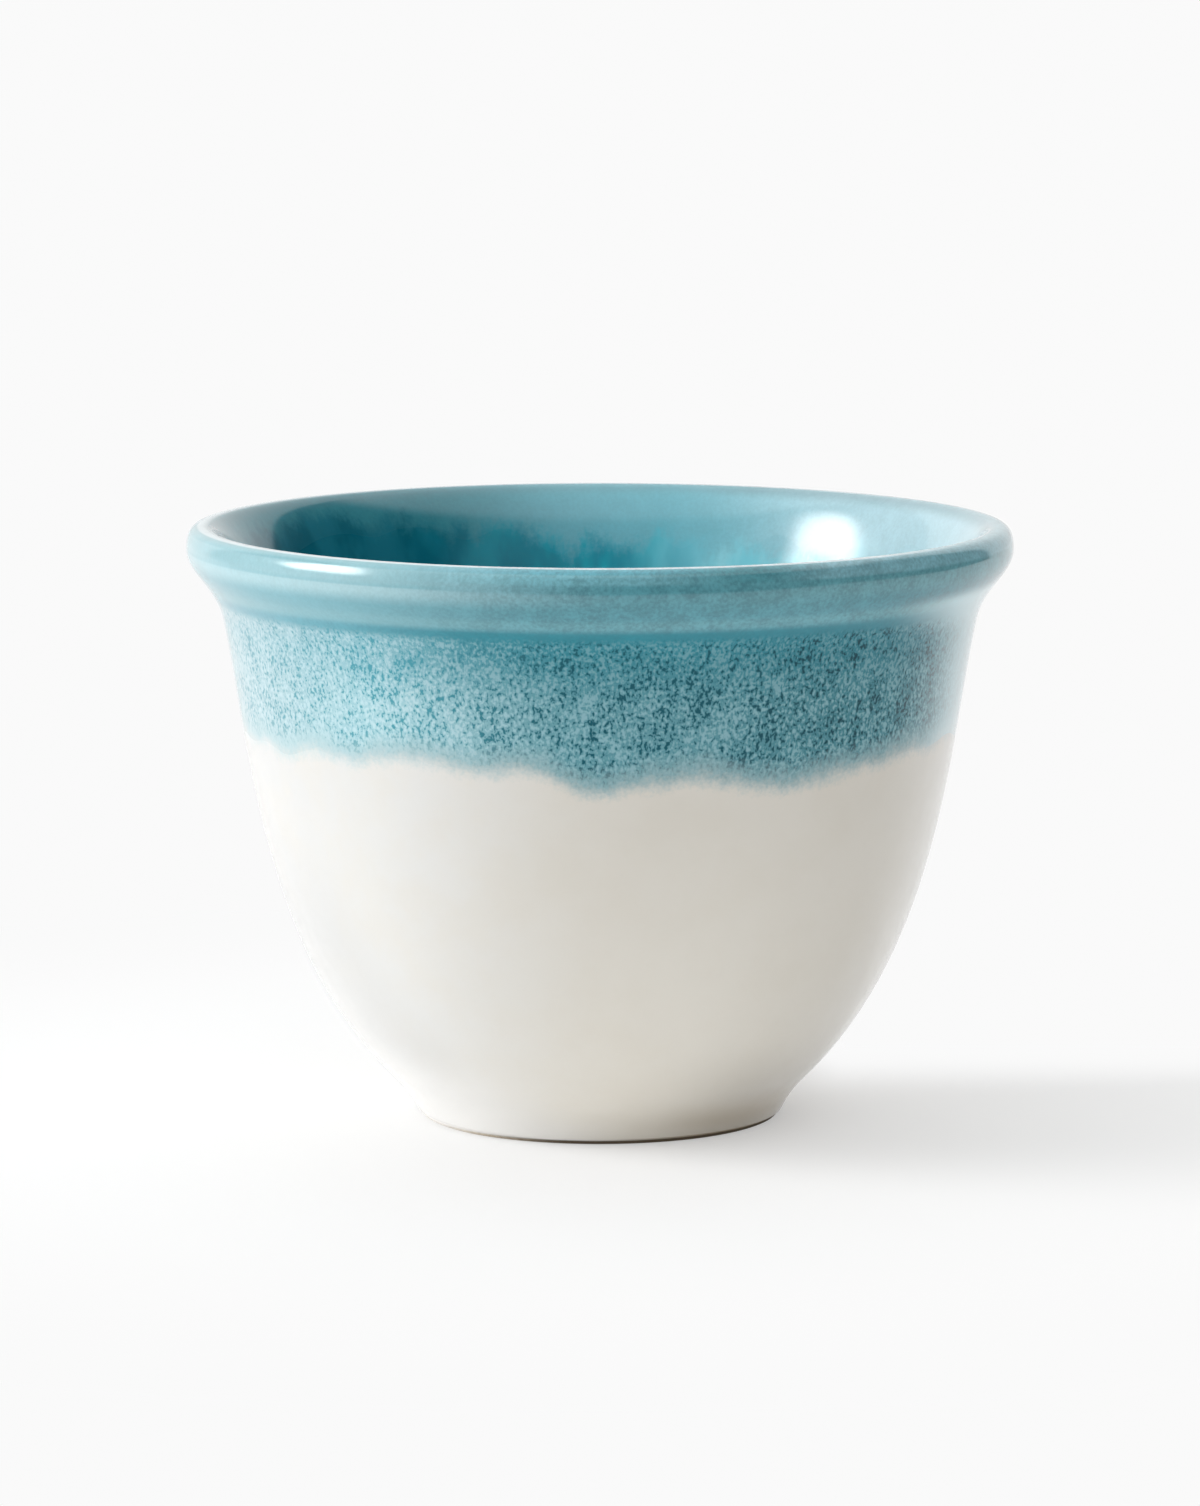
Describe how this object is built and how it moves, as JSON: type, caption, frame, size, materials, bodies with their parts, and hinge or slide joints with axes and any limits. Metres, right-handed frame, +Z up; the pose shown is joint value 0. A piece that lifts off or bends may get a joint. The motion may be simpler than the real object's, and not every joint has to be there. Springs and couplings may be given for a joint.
{
  "type": "coffee cup",
  "caption": "Small handleless coffee cup with a rolled lip and a foot ring, satin white outside with a dipped turquoise band and a deep teal inside.",
  "frame": {"origin": "centre of the foot ring on the table", "axes": "+Z up along the cup's axis, -Y towards the side that the picture shows"},
  "size_m": [0.0698, 0.0698, 0.0504],
  "materials": {
    "clay": "matte",
    "white_glaze": "satin",
    "turquoise_glaze": "gloss",
    "liner_glaze": "gloss"
  },
  "bodies": {
    "root": {"clay_body": "clay", "white_glaze": "white_glaze", "turquoise_glaze": "turquoise_glaze", "liner_glaze": "liner_glaze", "underside_glaze": "white_glaze"}
  },
  "joints": []
}
